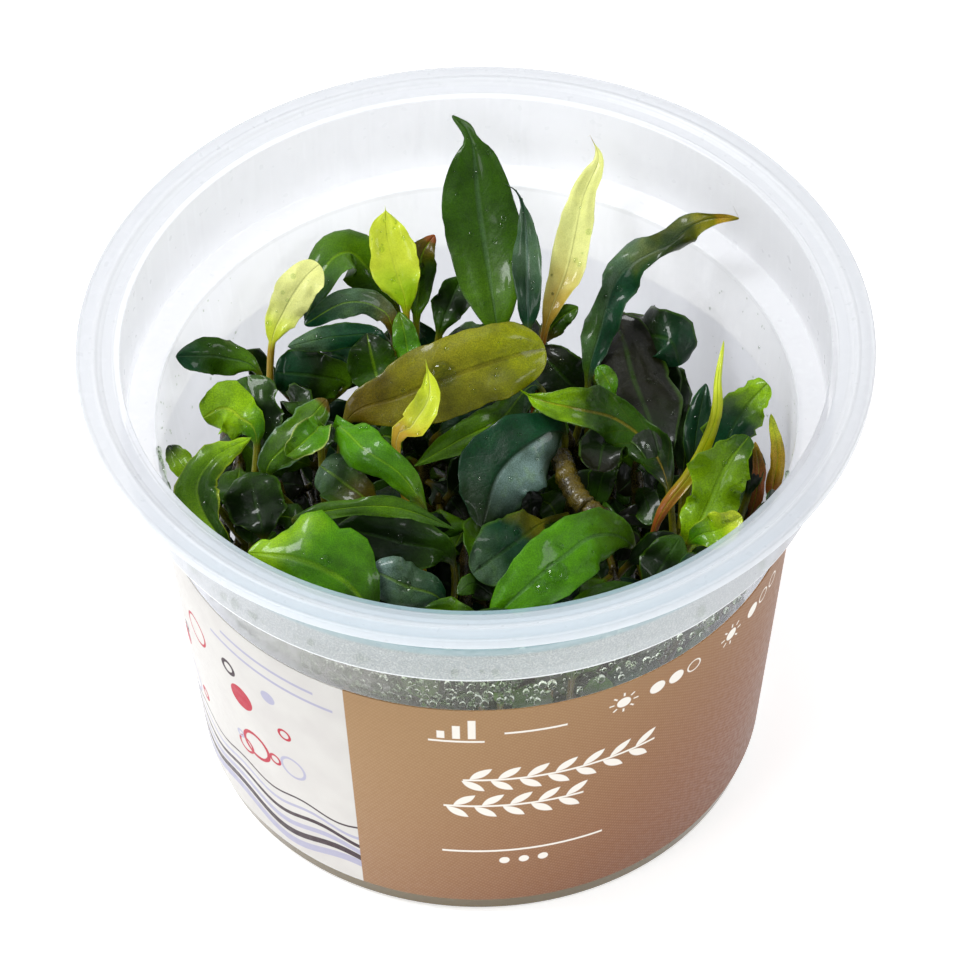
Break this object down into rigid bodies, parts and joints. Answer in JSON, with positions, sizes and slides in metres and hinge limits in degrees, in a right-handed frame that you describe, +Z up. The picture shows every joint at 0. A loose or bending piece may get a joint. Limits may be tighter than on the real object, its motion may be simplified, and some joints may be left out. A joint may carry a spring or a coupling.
{
  "type": "bucephalandra aquarium plant in a culture cup",
  "caption": "Clump of small waxy-leaved aquatic plants growing in gel in a clear tapered cup with a flanged rim and a plain wrap-round label.",
  "frame": {"origin": "centre of the cup's flat base, on the surface it stands on", "axes": "+Z up out of the cup's mouth, -Y towards the front of the label, +X to the right"},
  "size_m": [0.118, 0.118, 0.08],
  "materials": {
    "cup_plastic": "clear, slightly milky moulded polypropylene",
    "label_paper": "satin printed label, brown with one white panel",
    "gel": "moist set agar gel",
    "stem": "damp brown-green rhizome",
    "leaf_dark": "waxy, very dark green",
    "leaf_teal": "waxy, blue-green with a silvery sheen",
    "leaf_mid": "waxy, mid green",
    "leaf_lime": "waxy, bright lime green",
    "leaf_yellow": "waxy, pale yellow-green young leaf",
    "leaf_olive": "waxy, olive brown"
  },
  "bodies": {
    "root": {"cup": "cup_plastic", "label": "label_paper", "growing_gel": "gel", "stem_back": "stem", "stem_right_back": "stem", "stem_left_back": "stem", "stem_mid_back": "stem", "stem_mid_left": "stem", "stem_left": "stem", "stem_middle": "stem", "stem_right": "stem", "stem_right_edge": "stem", "stem_front": "stem", "leaf_tall_back": "leaf_dark", "leaf_folded_back": "leaf_teal", "leaf_yellow_back": "leaf_yellow", "leaf_brown_tip_back": "leaf_mid", "leaf_small_dark_back": "leaf_dark", "leaf_arched_back": "leaf_dark", "leaf_lime_upright": "leaf_lime", "leaf_pale_yellow": "leaf_yellow", "leaf_grey_arc": "leaf_teal", "leaf_broad_dark_left": "leaf_dark", "leaf_upper_left_fold": "leaf_teal", "leaf_mid_green": "leaf_mid", "leaf_small_green": "leaf_mid", "leaf_dark_middle": "leaf_dark", "leaf_right_broad": "leaf_dark", "leaf_bright_right": "leaf_lime", "leaf_black_broad": "leaf_dark", "leaf_long_wavy": "leaf_teal", "leaf_long_mid_green": "leaf_mid", "leaf_silver_dark": "leaf_teal", "leaf_big_olive": "leaf_olive", "leaf_left_point": "leaf_teal", "leaf_dark_left": "leaf_dark", "leaf_lime_lobe": "leaf_lime", "leaf_cut_end": "leaf_mid", "leaf_grey_round": "leaf_teal", "leaf_left_curl": "leaf_mid", "leaf_glossy_arch": "leaf_lime", "leaf_yellow_curl": "leaf_yellow", "leaf_dark_round_left": "leaf_dark", "leaf_far_left_small": "leaf_lime", "leaf_bright_curl": "leaf_lime", "leaf_right_dark_upright": "leaf_dark", "leaf_right_lobed": "leaf_lime", "leaf_right_wavy": "leaf_lime", "leaf_right_curl": "leaf_lime", "leaf_right_spear": "leaf_yellow", "leaf_edge_shoot": "leaf_yellow", "leaf_edge_red_shoot": "leaf_olive", "leaf_front_dark": "leaf_dark", "leaf_grey_teal": "leaf_teal", "leaf_front_bluish": "leaf_teal", "leaf_front_small": "leaf_mid", "leaf_front_right_dark": "leaf_dark", "leaf_front_right_low": "leaf_dark", "leaf_front_left_green": "leaf_lime", "leaf_front_right_green": "leaf_lime"}
  },
  "joints": []
}
